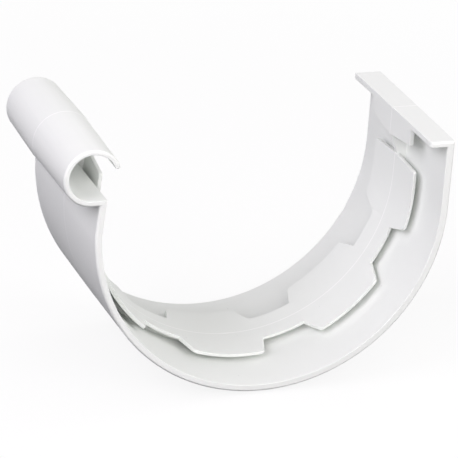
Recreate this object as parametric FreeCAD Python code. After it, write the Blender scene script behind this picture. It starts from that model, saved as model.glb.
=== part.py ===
"""Union for half-round gutters with a round bead: one moulded piece, millimetres, Z up."""
import FreeCAD
import Part
import math
import os

# Gutter that the union joins
gutter_radius = 62.5        # outside of the half round
gutter_wall = 1.9
bead_radius = 7.8           # outside of the gutter's bead
fit_gap = 0.6               # room for glue

# Shell
length = 71.0
wall = 2.4                  # at the left side
wall_extra = 0.5            # how much thicker the right side is
left_lean = 1.2             # how far the left side leans in at the bead's floor
lip_top = 25.3
lip_thick = 2.0
lip_width = 9.6             # from the outside of the right side
lip_corner = 1.8            # rounding of the lip's inner corners
end_edge = 0.6              # bevel round the outside of the front end

# Bead socket
bead_out = 4.5              # centre of the bead, out from the gutter's side
bead_z = 21.3
bead_wall = 1.7             # at the top
bead_drop = 0.2             # how far the outside of the C hangs below its bore's centre
bead_end = 19.5             # angle of the C's free end above the horizontal

# Mould draft and the step where the two mould halves meet
draft = 0.3                 # growth of the outside from each end to mid-length
bead_draft = 0.65
lip_draft = 0.1
seat_draft = 0.6            # growth of the seat from the front end to the rear end
step = 0.3                  # how far the rear half stands proud

# Inner strip
strip_thick = 1.4
strip_left_mid = 18.2       # heights of the strip's two ends, highest at mid-length
strip_left_tip = 15.2
strip_right_mid = 7.6
strip_right_tip = 6.6
strip_base = 7.8            # half width between the tabs
strip_tip = 17.7            # half width over the tabs
notch_first = -167.4        # centre of the first notch on the section, degrees
notch_pitch = 47.5
notch_count = 4
notch_base = 15.5           # angle of a notch at its floor
notch_mouth = 21.5          # angle of a notch at its mouth
notch_trim = 1.3            # how much narrower the first and last notch are, at the strip's ends
tab_round = 2.2
strip_round = 1.2           # rounding of the strip's end corners

# Mid web and hem
web_thick = 2.0
hem_thick = 1.6
hem_half = 17.6
hem_mid = 15.0              # height of the hem's lower edge at mid-length
hem_end = 17.2              # height of the hem's lower edge at its ends
hem_lift = 1.0              # how much higher the rear half of the hem ends

# Sizes that follow from the ones above
half = length / 2.0
bead_x = -gutter_radius - bead_out
seat_radius = gutter_radius + fit_gap
bore_radius = bead_radius + fit_gap
slot = gutter_wall + fit_gap
strip_outer = seat_radius - slot
strip_inner = strip_outer - strip_thick
floor_z = bead_z - bore_radius
shift = wall_extra / 2.0    # offset of the outside from the seat, towards the right
lip_x = seat_radius + wall + wall_extra - lip_width
lean = left_lean / floor_z
bite = 0.4                  # how far joined forms run into each other
near = 0.01                 # how close two positions are to count as one


def at(x, z, y=0.0):
    return FreeCAD.Vector(x, y, z)


def polar(radius, degrees, x=0.0, z=0.0):
    angle = math.radians(degrees)
    return at(x + radius * math.cos(angle), z + radius * math.sin(angle))


def line(start, end):
    return Part.LineSegment(start, end).toShape()


def arc(radius, start, end, x=0.0, z=0.0):
    points = [polar(radius, a, x, z) for a in (start, (start + end) / 2.0, end)]
    return Part.Arc(*points).toShape()


def left_side(radius, z):
    return at(-radius + lean * z, z)


def plate(face, start, end):
    face = face.copy()
    face.translate(at(0, 0, start))
    return face.extrude(at(0, 0, end - start))


def polygon(points):
    corners = [at(x, z) for x, z in points]
    return Part.Face(Part.makePolygon(corners + corners[:1]))


def section(swell, proud, y):
    """Closed outline of lip, sides, half round and bead; swell is the share of the draft reached here."""
    seat = seat_radius + seat_draft * y / length
    outside = seat + wall + shift + draft * swell + proud
    right, left = shift + outside, outside - shift
    ring = bore_radius + bead_wall + bead_drop + bead_draft * swell + proud
    ring_z = bead_z - bead_drop
    top = lip_top + lip_draft * swell + proud
    under = lip_top - lip_thick
    wire = Part.Wire([
        line(at(lip_x, top), at(right, top)),
        line(at(right, top), at(right, 0)),
        arc(outside, 0, -180, shift),
        line(at(-left, 0), left_side(left, ring_z - ring)),
        line(left_side(left, ring_z - ring), at(bead_x, ring_z - ring)),
        arc(ring, 270, bead_end, bead_x, ring_z),
        line(polar(ring, bead_end, bead_x, ring_z), polar(bore_radius, bead_end, bead_x, bead_z)),
        arc(bore_radius, bead_end, 270, bead_x, bead_z),
        line(at(bead_x, floor_z), left_side(seat, floor_z)),
        line(left_side(seat, floor_z), at(-seat, 0)),
        arc(seat, -180, 0),
        line(at(seat, 0), at(seat, under)),
        line(at(seat, under), at(lip_x, under)),
        line(at(lip_x, under), at(lip_x, top)),
    ])
    wire.translate(at(0, 0, y))
    return wire


def shell():
    """Two drafted halves that meet at mid-length with a small step, the front end bevelled outside."""
    front = [section(0, -end_edge, -half), section(0, 0, end_edge - half), section(1, 0, 0)]
    rear = [section(1, step, 0), section(0, step, half)]
    body = Part.makeLoft(front, True, True).fuse(Part.makeLoft(rear, True, True)).removeSplitter()
    for side in (-1, 1):
        body = body.cut(lip_round(side))
    return body


def lip_round(side):
    """Cutter that rounds the lip's inner corner at one end."""
    tall = 2.0 * lip_thick
    low = lip_top - 1.5 * lip_thick
    block = Part.makeBox(lip_corner + bite, lip_corner + bite, tall, at(lip_x - bite, low, half - lip_corner))
    post = Part.makeCylinder(lip_corner, tall, at(lip_x + lip_corner, low, half - lip_corner))
    cutter = block.cut(post)
    if side < 0:
        cutter = cutter.mirror(at(0, 0), FreeCAD.Vector(0, 1, 0))
    return cutter


def channel(radius, left_top, right_top):
    """Area of the channel inside the given radius, up to the given heights at its two sides."""
    return Part.Face(Part.Wire([
        line(at(radius, right_top), at(radius, 0)),
        arc(radius, 0, -180),
        line(at(-radius, 0), left_side(radius, left_top)),
        line(left_side(radius, left_top), at(radius, right_top)),
    ]))


def notch(centre, base, mouth, side):
    """Tapered cutter for one notch in the strip's edge, its mouth rounded, pointing out from the centre."""
    floor = strip_inner * math.tan(math.radians(base / 2.0))
    mouth = strip_inner * math.tan(math.radians(mouth / 2.0))
    slope = math.atan2(mouth - floor, strip_tip - strip_base)
    run = tab_round / math.tan((math.pi / 2.0 + slope) / 2.0)
    spare = 3.0 * strip_thick

    def spot(across, along):
        return FreeCAD.Vector(strip_inner - spare, side * along, across)

    edges = [line(spot(-floor, strip_base), spot(floor, strip_base))]
    for hand in (1, -1):
        side_end = (mouth - run * math.sin(slope), strip_tip - run * math.cos(slope))
        pivot = (mouth + run, strip_tip - tab_round)
        bend = math.atan2(side_end[1] - pivot[1], side_end[0] - pivot[0])
        middle = (bend + math.pi / 2.0) / 2.0
        top = (pivot[0] + tab_round * math.cos(middle), pivot[1] + tab_round * math.sin(middle))
        points = [side_end, top, (mouth + run, strip_tip), (mouth + run, strip_tip + bite)]
        points = [spot(hand * across, along) for across, along in points]
        edges.append(line(spot(hand * floor, strip_base), points[0]))
        edges.append(Part.Arc(*points[:3]).toShape())
        edges.append(line(points[2], points[3]))
    edges.append(line(spot(mouth + run, strip_tip + bite), spot(-mouth - run, strip_tip + bite)))
    face = Part.Face(Part.Wire(Part.__sortEdges__(edges)))
    cutter = face.extrude(at(strip_thick + 2.0 * spare, 0))
    cutter.rotate(at(0, 0), FreeCAD.Vector(0, 1, 0), -centre)
    return cutter


def gable(side, mid, tip):
    """Cutter that leaves one end of the strip highest at mid-length; side is -1 left, 1 right."""
    reach = 2.0 * strip_tip
    low = mid - (mid - tip) * reach / strip_tip
    outline = ((-reach, low), (0, mid), (reach, low), (reach, mid + reach), (-reach, mid + reach))
    corners = [FreeCAD.Vector(0, y, z) for y, z in outline]
    return Part.Face(Part.makePolygon(corners + corners[:1])).extrude(at(side * 2.0 * strip_outer, 0))


def strip():
    """Castellated strip that stands off the shell by the slot, its rear half proud by the step."""
    body = None
    spare = strip_left_mid
    for start, end, inner in ((-strip_tip, 0, strip_inner), (0, strip_tip, strip_inner - step)):
        piece = plate(channel(strip_outer, strip_left_mid + spare, strip_right_mid + spare), start, end)
        room = channel(inner, strip_left_mid + 2.0 * spare, strip_right_mid + 2.0 * spare)
        piece = piece.cut(plate(room, start, end))
        body = piece if body is None else body.fuse(piece)
    body = body.cut(gable(-1, strip_left_mid, strip_left_tip))
    body = body.cut(gable(1, strip_right_mid, strip_right_tip))
    corners = [e for e in body.Edges if is_strip_corner(e)]
    body = body.makeFillet(strip_round, corners)
    for index in range(notch_count):
        trim = notch_trim if index in (0, notch_count - 1) else 0.0
        centre = notch_first + index * notch_pitch + (trim if index == 0 else -trim) / 2.0
        for side in (-1, 1):
            body = body.cut(notch(centre, notch_base - trim, notch_mouth - trim, side))
    return body


def is_strip_corner(edge):
    box = edge.BoundBox
    across = edge.Length < 2.0 * strip_thick and box.YLength < near
    return across and abs(abs(box.YMin) - strip_tip) < near and box.ZMin > 0.0


def web():
    """Stop for the gutter ends at mid-length: fills the slot up to the bead's bore, and the hem's pocket."""
    thin = web_thick / 2.0
    outer = channel(seat_radius + bite, floor_z, strip_right_mid)
    inner = channel(strip_outer - bite, 2.0 * strip_left_mid, 2.0 * strip_right_mid)
    body = plate(outer, -thin, thin).cut(plate(inner, -thin, thin))
    pocket = polygon([
        (strip_inner + bite, strip_right_mid - bite),
        (lip_x + bite, hem_mid + bite),
        (lip_x + bite, lip_top - bite),
        (seat_radius + bite, lip_top - bite),
        (seat_radius + bite, strip_right_mid - bite),
    ])
    gate = polygon([
        (left_side(seat_radius, floor_z).x, floor_z - bite),
        (left_side(strip_outer - bite, floor_z).x, floor_z - bite),
        (left_side(strip_outer - bite, strip_left_tip).x, strip_left_tip),
        (left_side(seat_radius, strip_left_tip).x, strip_left_tip),
    ])
    body = body.fuse(plate(pocket, -thin, thin)).fuse(plate(gate, -thin, thin))
    bore = Part.makeCylinder(bore_radius, web_thick, at(bead_x, bead_z, -thin), FreeCAD.Vector(0, 1, 0))
    return body.cut(bore)


def hem():
    """Plate under the lip's inner edge, lowest at mid-length, its rear half proud by the step."""
    body = None
    for side, inner, lift in ((-1, lip_x, 0.0), (1, lip_x - step, hem_lift)):
        corners = [
            FreeCAD.Vector(inner, 0, lip_top - bite),
            FreeCAD.Vector(inner, 0, hem_mid + lift),
            FreeCAD.Vector(inner, side * hem_half, hem_end + lift),
            FreeCAD.Vector(inner, side * hem_half, lip_top - bite),
        ]
        face = Part.Face(Part.makePolygon(corners + corners[:1]))
        piece = face.extrude(at(lip_x + hem_thick - inner, 0))
        body = piece if body is None else body.fuse(piece)
    return body


def union():
    body = shell()
    for piece in (strip(), web(), hem()):
        body = body.fuse(piece)
    return body.removeSplitter()


os.makedirs("parts", exist_ok=True)
shape = union()
solid = shape.Solids[0]
print("solids", len(shape.Solids), "valid", shape.isValid(), "volume", round(shape.Volume, 1))
print("box", [round(v, 2) for v in (shape.BoundBox.XMin, shape.BoundBox.XMax, shape.BoundBox.YMin,
                                    shape.BoundBox.YMax, shape.BoundBox.ZMin, shape.BoundBox.ZMax)])
solid.exportStep("parts/gutter_union.step")
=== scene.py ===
# %% [markdown]
# A gutter union joins two lengths of half-round gutter. It is one white PVC
# moulding: a half-round shell, a C-shaped bead socket on the left, a flat lip on
# the right, and a castellated strip inside that stands off the shell, so that the
# gutter's edge slides into the slot between them. The CAD model already has every
# one of these forms at its true size. This lesson keeps those sizes and adds what a
# CAD solid lacks: softly rounded edges, the plastic itself, light and a camera.

# %% Load the CAD frame
import math

import bmesh
import bpy
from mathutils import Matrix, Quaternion, Vector


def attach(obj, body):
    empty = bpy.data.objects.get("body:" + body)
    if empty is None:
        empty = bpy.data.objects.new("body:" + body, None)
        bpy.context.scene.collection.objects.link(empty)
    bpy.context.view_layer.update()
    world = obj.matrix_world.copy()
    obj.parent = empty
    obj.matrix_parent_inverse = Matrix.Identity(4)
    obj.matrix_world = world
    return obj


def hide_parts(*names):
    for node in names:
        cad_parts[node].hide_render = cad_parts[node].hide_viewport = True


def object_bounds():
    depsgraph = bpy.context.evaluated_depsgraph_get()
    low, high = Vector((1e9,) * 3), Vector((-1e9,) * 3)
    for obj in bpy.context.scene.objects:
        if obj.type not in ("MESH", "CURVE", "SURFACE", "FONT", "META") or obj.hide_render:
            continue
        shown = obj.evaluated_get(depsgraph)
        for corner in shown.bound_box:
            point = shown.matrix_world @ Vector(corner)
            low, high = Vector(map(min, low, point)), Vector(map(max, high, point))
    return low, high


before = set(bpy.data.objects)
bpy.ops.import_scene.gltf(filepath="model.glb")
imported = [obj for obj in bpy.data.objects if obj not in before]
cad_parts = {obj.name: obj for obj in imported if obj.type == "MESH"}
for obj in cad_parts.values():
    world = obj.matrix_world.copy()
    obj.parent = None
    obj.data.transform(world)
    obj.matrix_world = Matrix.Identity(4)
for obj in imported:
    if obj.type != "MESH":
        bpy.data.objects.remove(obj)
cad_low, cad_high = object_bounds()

mm = 0.001
union_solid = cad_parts["gutter_union"]
print("CAD box in mm:", [round(v / mm, 1) for v in cad_high - cad_low])

# %% [markdown]
# The solid's own mesh must stay as it is, so we work on a copy. Copying the whole
# object would also copy its marks as a CAD node. A new object with a copy of the mesh
# starts clean. The CAD's own normals go too, because they would keep the shading of
# the sharp edges after those are rounded.

# %% Copy the solid
bpy.ops.object.select_all(action="DESELECT")
moulding = bpy.data.objects.new("union_moulding", union_solid.data.copy())
moulding.data.name = moulding.name
bpy.context.scene.collection.objects.link(moulding)
moulding.select_set(True)
bpy.context.view_layer.objects.active = moulding
bpy.ops.mesh.customdata_custom_splitnormals_clear()


def count(piece):
    """How many corners and faces a piece has, in words."""
    return f"{len(piece.data.vertices)} corners, {len(piece.data.polygons)} faces"


print("copy:", count(moulding))

# %% [markdown]
# A CAD solid reaches Blender as loose triangles. Merging their corners makes one
# closed skin of them, and dissolving the lines between triangles in one plane leaves
# single faces, which gives the later rounding clean edges to follow. The narrow faces
# in the plane of the parting line, at mid-length, are left out here, because the next
# step needs their corners.

# %% Merge and dissolve
same_point = 0.001 * mm
same_plane = math.radians(0.6)
parting_half = 0.05 * mm


def on_parting(part):
    """Whether an edge or a face lies in the plane of the parting line."""
    return all(abs(vertex.co.y) < parting_half for vertex in part.verts)


bpy.ops.object.mode_set(mode="EDIT")
bpy.ops.mesh.select_mode(type="FACE")
bpy.ops.mesh.select_all(action="SELECT")
bpy.ops.mesh.remove_doubles(threshold=same_point)
mesh = bmesh.from_edit_mesh(moulding.data)
for face in mesh.faces:
    face.select_set(not on_parting(face))
bmesh.update_edit_mesh(moulding.data)
bpy.ops.mesh.dissolve_limited(angle_limit=same_plane)
bpy.ops.mesh.select_mode(type="EDGE")
bpy.ops.object.mode_set(mode="OBJECT")
print("merged:", count(moulding))

# %% [markdown]
# The two halves of the mould met at mid-length, and the rear half of the piece stands
# a hair proud of the front half there. In the CAD solid that is a step with a ledge
# of a third of a millimetre, too narrow for a rounded edge on either side. So here the
# step is closed: each corner of the rear loop moves onto its neighbour on the front
# loop, and the two loops merge into one crease. The hem under the lip is proud by the
# same step on its rear half, and moves flush with the lip.

# %% Close the parting step
lip_edge = 56.4 * mm
hem_proud = 0.3 * mm


def leads_to_front(vertex):
    """Whether an edge runs from this corner into the front half."""
    return any(
        edge.other_vert(vertex).co.y < -parting_half for edge in vertex.link_edges
    )


def on_proud_hem(vertex):
    """Whether a corner is on the rear half of the hem's proud face."""
    from_face = vertex.co.x - (lip_edge - hem_proud)
    return vertex.co.y > parting_half and abs(from_face) < parting_half


bpy.ops.object.mode_set(mode="EDIT")
bpy.ops.mesh.select_mode(type="VERT")
mesh = bmesh.from_edit_mesh(moulding.data)
loop = [vertex for vertex in mesh.verts if abs(vertex.co.y) < parting_half]
front_loop = [vertex for vertex in loop if leads_to_front(vertex)]
rear_loop = [vertex for vertex in loop if not leads_to_front(vertex)]
for vertex in rear_loop:
    vertex.co = min(front_loop, key=lambda other: (other.co - vertex.co).length).co
for vertex in mesh.verts:
    if on_proud_hem(vertex):
        vertex.co.x = lip_edge
bmesh.update_edit_mesh(moulding.data)
bpy.ops.mesh.select_all(action="SELECT")
bpy.ops.mesh.remove_doubles(threshold=parting_half)
bpy.ops.mesh.dissolve_degenerate(threshold=parting_half)
bpy.ops.object.mode_set(mode="OBJECT")
print("parting line:", len(rear_loop), "corners closed, now", count(moulding))

# %% [markdown]
# A round needs edges longer than itself, or its corners run into each other. Corners
# that are closer together than the shortest useful edge merge, except at the mid web,
# whose small faces must stay. The crease of the parting line is marked sharp, so that
# the shading breaks there.

# %% Merge short edges and mark the crease
web_half = 1.0 * mm
shortest_edge = 0.3 * mm

bpy.ops.object.mode_set(mode="EDIT")
mesh = bmesh.from_edit_mesh(moulding.data)
for vertex in mesh.verts:
    vertex.select_set(abs(vertex.co.y) > web_half + parting_half)
mesh.select_flush_mode()
bmesh.update_edit_mesh(moulding.data)
bpy.ops.mesh.remove_doubles(threshold=shortest_edge)
bpy.ops.mesh.select_mode(type="EDGE")
mesh = bmesh.from_edit_mesh(moulding.data)
for edge in mesh.edges:
    edge.select_set(on_parting(edge))
bmesh.update_edit_mesh(moulding.data)
bpy.ops.mesh.mark_sharp()
bpy.ops.object.mode_set(mode="OBJECT")
print("short edges merged:", count(moulding))

# %% [markdown]
# In the photograph the tabs of the strip end in a soft grey and not in a white line.
# Moulded edges lean a little, so that the steel can slide out, and here the side that
# faces the slot stands back. Such an edge looks down into the slot and catches less
# light than an upright one. Moving one row of corners along the gutter is enough.

# %% Lean the edges of the strip
slot_side_from = 59.9 * mm
slot_side_to = 61.2 * mm
strip_half = 19.0 * mm
edge_lean = 0.55 * mm


def on_slot_side(vertex):
    """Whether a corner is at the strip's edge, on the side that faces the slot."""
    x, y, z = vertex.co
    radius = math.hypot(x, min(z, 0.0))
    on_half_round = z < 0.0 or x > 0.0
    off_web = web_half + parting_half < abs(y) < strip_half
    return on_half_round and off_web and slot_side_from < radius < slot_side_to


bpy.ops.object.mode_set(mode="EDIT")
mesh = bmesh.from_edit_mesh(moulding.data)
leaned = [vertex for vertex in mesh.verts if on_slot_side(vertex)]
for vertex in leaned:
    vertex.co.y -= math.copysign(edge_lean, vertex.co.y)
bmesh.update_edit_mesh(moulding.data)
bpy.ops.object.mode_set(mode="OBJECT")
print("strip:", len(leaned), "corners moved back by", round(edge_lean / mm, 2), "mm")

# %% [markdown]
# A moulding never has knife-sharp outward edges, and it is the thin bright line along
# a rounded edge that tells the eye what it looks at. Every outward edge is rounded
# here: the strip's tabs, the lip, the hem and both ends. Inward corners stay crisp.
# So do the small edges where the mid web meets its neighbours, and the inner edge of
# the bead's floor, which runs right across the web's end. The edges are picked by
# their angle and place and get a bevel weight, so that one Bevel modifier rounds them
# all together and the corners where they meet stay clean.

# %% Pick the edges to round
outward_from = math.radians(30)
floor_edge_x = -61.9 * mm
floor_edge_z = 12.9 * mm
floor_edge_near = 0.6 * mm


def on_floor_edge(edge):
    """Whether an edge is the inner edge of the bead's floor, from end to end."""
    return all(
        abs(vertex.co.x - floor_edge_x) < floor_edge_near
        and abs(vertex.co.z - floor_edge_z) < floor_edge_near
        for vertex in edge.verts
    )


def on_web(edge):
    """Whether an edge is one of the small ones at the mid web."""
    return all(abs(vertex.co.y) < web_half + parting_half for vertex in edge.verts)


bpy.ops.object.mode_set(mode="EDIT")
bpy.ops.mesh.select_all(action="DESELECT")
mesh = bmesh.from_edit_mesh(moulding.data)
for edge in mesh.edges:
    outward = edge.calc_face_angle_signed(0.0) > outward_from
    edge.select_set(outward and not on_web(edge) and not on_floor_edge(edge))
mesh.select_flush_mode()
picked = sum(edge.select for edge in mesh.edges)
bmesh.update_edit_mesh(moulding.data)
bpy.ops.transform.edge_bevelweight(value=1.0)
bpy.ops.object.mode_set(mode="OBJECT")
print("edges to round:", picked)

# %% [markdown]
# The round is a quarter of a millimetre, as polished steel moulds leave it. With Loop
# Slide on, the new corners would slide along the facets of the half round and cross
# each other, so it is off. Weighted normals then keep the large faces flat in the
# shading and leave the turn of the light to the narrow rounds.

# %% Round the edges
edge_round = 0.25 * mm
round_steps = 3
smooth_to = math.radians(30)

rounding = moulding.modifiers.new("edge rounding", "BEVEL")
rounding.limit_method = "WEIGHT"
rounding.width = edge_round
rounding.segments = round_steps
rounding.use_clamp_overlap = False
rounding.loop_slide = False
bpy.ops.object.modifier_apply(modifier=rounding.name)
bpy.ops.object.shade_smooth_by_angle(angle=smooth_to)
even = moulding.modifiers.new("even shading", "WEIGHTED_NORMAL")
even.mode = "FACE_AREA"
even.keep_sharp = True
bpy.ops.object.modifier_apply(modifier=even.name)
print("rounded:", count(moulding))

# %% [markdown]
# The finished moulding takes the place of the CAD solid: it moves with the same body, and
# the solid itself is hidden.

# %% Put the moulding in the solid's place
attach(moulding, "root")
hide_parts("gutter_union")
print(moulding.name, "stands for", union_solid.name)

# %% [markdown]
# Shader maths reads best as plain sums. The small class below wraps one output
# socket, and adding or multiplying two of them adds the Math node that does it. All
# other nodes come from its one method, which sets a node's options first and then its
# sockets, either to a value or to a link.

# %% A class for shader maths
class Field:
    """Something that changes over a surface: one output socket of a node."""

    def __init__(self, tree, socket=None):
        self.tree = tree
        self.socket = socket

    def node(self, kind, settings=None, sockets=None, output=0):
        made = self.tree.nodes.new(kind)
        for name, value in (settings or {}).items():
            setattr(made, name, value)
        for name, value in (sockets or {}).items():
            if isinstance(value, Field):
                self.tree.links.new(value.socket, made.inputs[name])
            else:
                made.inputs[name].default_value = value
        return Field(self.tree, made.outputs[output] if made.outputs else None)

    def maths(self, operation, first, second=0.0):
        return self.node("ShaderNodeMath", {"operation": operation}, {0: first, 1: second})

    def __add__(self, other):
        return self.maths("ADD", self, other)

    def __sub__(self, other):
        return self.maths("SUBTRACT", self, other)

    def __rsub__(self, other):
        return self.maths("SUBTRACT", other, self)

    def __mul__(self, other):
        return self.maths("MULTIPLY", self, other)

    __radd__ = __add__
    __rmul__ = __mul__


print("shader class ready:", Field.__name__)

# %% [markdown]
# Three steps come back in every finish: starting with an empty material, blending two
# colours, and showing the result. A Math node would turn colours grey, so the blend
# is a Mix node, whose colour sockets are the seventh and the eighth.

# %% Helpers for materials
def new_material(name):
    """An empty material and the field that starts its nodes."""
    material = bpy.data.materials.new(name)
    material.use_nodes = True
    material.node_tree.nodes.clear()
    return material, Field(material.node_tree)


def blend(start, share, first, second):
    """The first colour where the share is zero, the second where it is one."""
    sockets = {0: share, 6: first, 7: second}
    return start.node("ShaderNodeMix", {"data_type": "RGBA"}, sockets, output=2)


def show(start, shader):
    """Ends a material with this shader."""
    start.node("ShaderNodeOutputMaterial", {}, {"Surface": shader})


print("material helpers ready:", new_material.__name__, blend.__name__, show.__name__)

# %% [markdown]
# Rigid gutter PVC is a cool white with a satin gloss. Melt that flowed out from the
# gate leaves broad, barely visible clouds in the white and faint streaks along the
# piece, and the mould's fine finish breaks the gloss up. Four noise textures stand
# for that, all on Object coordinates, so that they stay with the piece: the streaks
# are a noise that a Mapping node draws out along the gutter.

# %% Clouds, streaks and grain
clouds_scale, streaks_scale, grain_scale, ripple_scale = 38.0, 420.0, 2600.0, 110.0
along_gutter = (1.0, 0.06, 1.0)

pvc, start = new_material("white_pvc_satin")
place = start.node("ShaderNodeTexCoord", output="Object")


def noise(vector, scale, detail):
    """A noise texture, from zero to one."""
    sockets = {"Vector": vector, "Scale": scale, "Detail": detail}
    return start.node("ShaderNodeTexNoise", {}, sockets)


drawn_out = start.node("ShaderNodeMapping", {}, {"Vector": place, "Scale": along_gutter})
clouds = noise(place, clouds_scale, 3.0)
streaks = noise(drawn_out, streaks_scale, 4.0)
grain = noise(place, grain_scale, 2.0)
ripple = noise(place, ripple_scale, 1.0)
print("textures:", len(pvc.node_tree.nodes), "nodes")

# %% [markdown]
# Here and there a tiny grey speck of scorched resin shows in the white. Specks could
# be painted one by one, but a Voronoi texture does it with one node: its cells are
# spheres in space, and only the few whose centres lie in the surface show as dots.

# %% Specks
specks_per_metre = 120.0
speck_radius = 0.28 * mm
speck_strength = 0.4

cells = start.node(
    "ShaderNodeTexVoronoi",
    {"feature": "F1"},
    {"Vector": place, "Scale": specks_per_metre},
)
specks = start.node(
    "ShaderNodeMapRange",
    {"clamp": True},
    {
        "Value": cells,
        "From Min": speck_radius * specks_per_metre,
        "From Max": 0.5 * speck_radius * specks_per_metre,
        "To Max": speck_strength,
    },
)
print("specks of", round(2 * speck_radius / mm, 2), "mm")

# %% [markdown]
# Along the parting line a hair of flash stands up. It is a band a fraction of a millimetre
# wide in the middle of the length, slightly raised in the bump, and painted a little
# whiter than the rest: a painted highlight for the light that the flash catches. The
# distance from mid-length is the Y of the Object coordinates without its sign.

# %% Parting line
seam_half = 0.26 * mm

along = start.node("ShaderNodeSeparateXYZ", {}, {"Vector": place}, output="Y")
# the band along the parting line: raised in the bump, and whitened as a painted highlight
flash_band_and_highlight = start.node(
    "ShaderNodeMapRange",
    {"clamp": True},
    {
        "Value": start.maths("ABSOLUTE", along),
        "From Min": seam_half,
        "From Max": 0.5 * seam_half,
    },
)
print("parting line", round(2 * seam_half / mm, 2), "mm wide")

# %% [markdown]
# Now the parts come together. Clouds and streaks blend two whites that are close to each
# other, then the specks and the painted highlight along the parting line go on top.

# %% Colour of the PVC
clear_white = (0.862, 0.886, 0.858, 1.0)
flow_white = (0.838, 0.862, 0.836, 1.0)
speck_grey = (0.46, 0.47, 0.47, 1.0)
# painted highlight: the white of the parting line where its flash catches the light
painted_highlight_white = (0.97, 0.98, 0.965, 1.0)
cloud_share, streak_share = 0.7, 0.3

flow = clouds * cloud_share + streaks * streak_share
colour = blend(start, flow, clear_white, flow_white)
colour = blend(start, specks, colour, speck_grey)
# painted highlight along the parting line
colour = blend(start, flash_band_and_highlight, colour, painted_highlight_white)
print("colour:", len(pvc.node_tree.nodes), "nodes so far")

# %% [markdown]
# The gloss is dull and uneven: streaks and grain make the roughness vary. The bump
# works on the scale of a twentieth of a millimetre, with a soft ripple as shrinking
# plastic leaves it. The specular level is low, because a satin surface scatters what
# a polished one would mirror.

# %% Satin gloss
bump_strength, bump_height = 0.35, 0.05 * mm
grain_relief, flash_relief = 0.25, 1.5
dullness, streak_dullness, grain_dullness = 0.58, 0.12, 0.06
specular_level = 0.07

relief = grain * grain_relief + ripple + flash_band_and_highlight * flash_relief
bump = start.node(
    "ShaderNodeBump",
    {},
    {"Strength": bump_strength, "Distance": bump_height, "Height": relief},
)
satin = start.node(
    "ShaderNodeBsdfPrincipled",
    {},
    {
        "Base Color": colour,
        "Roughness": dullness + streaks * streak_dullness + grain * grain_dullness,
        "Specular IOR Level": specular_level,
        "Normal": bump,
    },
)
show(start, satin)
moulding.data.materials.clear()
moulding.data.materials.append(pvc)
print("material:", pvc.name, len(pvc.node_tree.nodes), "nodes")

# %% [markdown]
# The photograph is taken from the front, a little to the left and above, with a long
# lens, so the far end of the bead is only slightly smaller than the near one. The
# camera was turned a few degrees about its own axis. The direction in which it stands
# is worked out by a function, because the lamps will need the same sum.

# %% Camera
camera_azimuth, camera_elevation, camera_roll = -21.303, 23.174, 4.033
camera_away = 993.6 * mm
aim = Vector((-3.264, 0.0, -17.532)) * mm


def direction(azimuth, elevation):
    """From the part towards this azimuth and elevation, in degrees."""
    a, e = math.radians(azimuth), math.radians(elevation)
    return Vector((math.sin(a) * math.cos(e), -math.cos(a) * math.cos(e), math.sin(e)))


back = direction(camera_azimuth, camera_elevation)
roll = Quaternion((0.0, 0.0, 1.0), math.radians(camera_roll))
bpy.ops.object.camera_add(location=aim + back * camera_away)
camera = bpy.context.object
camera.name = "photo_camera"
camera.rotation_mode = "QUATERNION"
camera.rotation_quaternion = back.to_track_quat("Z", "Y") @ roll
camera.data.sensor_width = 36.0
camera.data.lens = 217.38
camera.data.clip_start, camera.data.clip_end = 0.01, 50.0
bpy.context.scene.camera = camera
print("camera at", [round(v, 3) for v in camera.location], "m")

# %% [markdown]
# The part stands on a plain pale sheet in front of white. A sheet that is really lit
# to white would throw so much light back up that the dark underside of the shell
# would wash out. A Light Path node tells who is looking: the camera, a reflection or
# a clear body, which see white, or any other light, which meets a dull sheet that
# gives little back.

# %% Floor and who looks at it
floor_size = 12.0

bpy.ops.mesh.primitive_plane_add(size=floor_size, location=(0.0, 0.0, cad_low.z))
floor = bpy.context.object
floor.name = "floor"


def who_looks(start):
    """One for the camera, reflections and clear bodies, zero for all other light."""
    path = start.node("ShaderNodeLightPath").socket.node
    names = ("Is Camera Ray", "Is Glossy Ray", "Is Transmission Ray")
    rays = [Field(start.tree, path.outputs[name]) for name in names]
    return start.maths("MINIMUM", rays[0] + rays[1] + rays[2], 1.0)


print("floor at", round(floor.location.z / mm, 1), "mm")

# %% [markdown]
# Near the part the sheet mostly glows white, with enough real light left in it to
# keep the part's shadow. Further away, where no shadow falls, the glow takes over
# altogether, so that the sheet runs into the white of the room without a horizon.

# %% Pale sheet
dull_grey = (0.05, 0.052, 0.06, 1.0)
pale_white = (0.98, 0.98, 0.98, 1.0)
full_white = (1.0, 1.0, 1.0, 1.0)
glow_share = 0.86
shadow_reach = 0.2

sheet, start = new_material("pale_sheet")
looking = who_looks(start)
tone = blend(start, looking, dull_grey, pale_white)
lit = start.node("ShaderNodeBsdfDiffuse", {}, {"Color": tone})
glow = start.node("ShaderNodeEmission", {}, {"Color": full_white, "Strength": 1.0})
place = start.node("ShaderNodeTexCoord", output="Object")
away_from_part = start.node(
    "ShaderNodeVectorMath", {"operation": "LENGTH"}, {0: place}, output="Value"
)
beyond = start.node(
    "ShaderNodeMapRange",
    {"interpolation_type": "SMOOTHSTEP"},
    {"Value": away_from_part, "From Min": shadow_reach, "From Max": 3.0 * shadow_reach},
)
real_light = (1.0 - glow_share) * (1.0 - beyond)
glowing = looking * (1.0 - real_light)
surface = start.node("ShaderNodeMixShader", {}, {0: glowing, 1: lit, 2: glow})
show(start, surface)
floor.data.materials.append(sheet)
print("material:", sheet.name, len(sheet.node_tree.nodes), "nodes")

# %% [markdown]
# The room round the part is treated in the same way: white to look at, and only a
# little cool light from it on the part itself, so that no side is quite black.

# %% Room
cool_light = (0.7, 0.8, 1.0, 1.0)
cool_strength = 0.03

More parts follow.
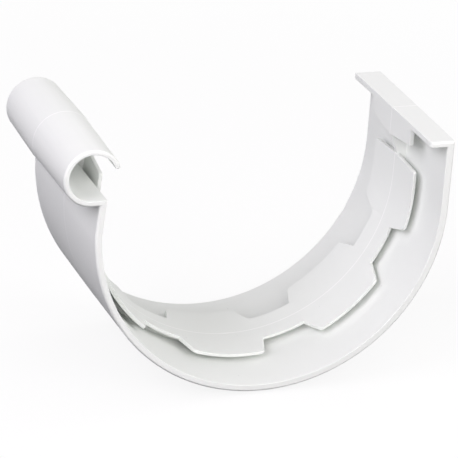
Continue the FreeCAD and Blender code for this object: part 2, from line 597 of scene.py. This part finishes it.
world = bpy.data.worlds.new("studio")
world.use_nodes = True
world.node_tree.nodes.clear()
bpy.context.scene.world = world
start = Field(world.node_tree)
dim = start.node(
    "ShaderNodeBackground", {}, {"Color": cool_light, "Strength": cool_strength}
)
white = start.node("ShaderNodeBackground", {}, {"Color": full_white, "Strength": 1.0})
room = start.node("ShaderNodeMixShader", {}, {0: who_looks(start), 1: dim, 2: white})
start.node("ShaderNodeOutputWorld", {}, {"Surface": room})
print("room:", len(world.node_tree.nodes), "nodes")

# %% [markdown]
# White on white only shows its form where the light has a direction. The photograph
# has no hard highlight and no hard shadow: large soft boxes stand round the piece,
# most of them in front and on the left, weaker ones on the right, behind and above.
# They are a touch pink, and those on the left a touch blue, as the whites in the
# photograph are. Nine lamps look like many, but each is weak, and one strong lamp
# could not light the outside and the inside of a half round at once.

# %% Light
lamp_away = 1.2
lamp_size = 0.8


def soft_box(name, azimuth, elevation, watts, colour):
    """A square lamp that looks at the part from the given direction, in degrees."""
    out = direction(azimuth, elevation)
    bpy.ops.object.light_add(type="AREA", location=out * lamp_away)
    lamp = bpy.context.object
    lamp.name = name
    lamp.rotation_euler = out.to_track_quat("Z", "Y").to_euler()
    lamp.data.shape = "SQUARE"
    lamp.data.size = lamp_size
    lamp.data.energy = watts
    lamp.data.color = colour
    print("lamp", name, watts, "W")


soft_box("front_lamp", -20.0, 22.0, 5.9, (1.0, 0.955, 0.965))
soft_box("front_right_lamp", 20.0, 30.0, 4.4, (1.0, 0.965, 0.968))
soft_box("front_left_lamp", -50.0, 25.0, 4.8, (0.985, 0.945, 1.0))
soft_box("left_lamp", -82.0, 39.0, 7.1, (0.97, 0.925, 1.0))
soft_box("low_right_lamp", 50.0, 8.0, 5.5, (1.0, 0.975, 0.985))
soft_box("side_lamp", 92.0, 22.0, 2.95, (1.0, 0.98, 0.985))
soft_box("back_lamp", 130.0, 45.0, 3.0, (1.0, 0.973, 0.97))
soft_box("rear_lamp", 180.0, 12.0, 2.0, (1.0, 0.97, 0.975))
soft_box("top_lamp", 0.0, 82.0, 1.3, (1.0, 0.965, 0.95))

# %% [markdown]
# The Standard view shows a colour as it is written, which suits a white part.

# %% Standard view
bpy.context.scene.view_settings.view_transform = "Standard"
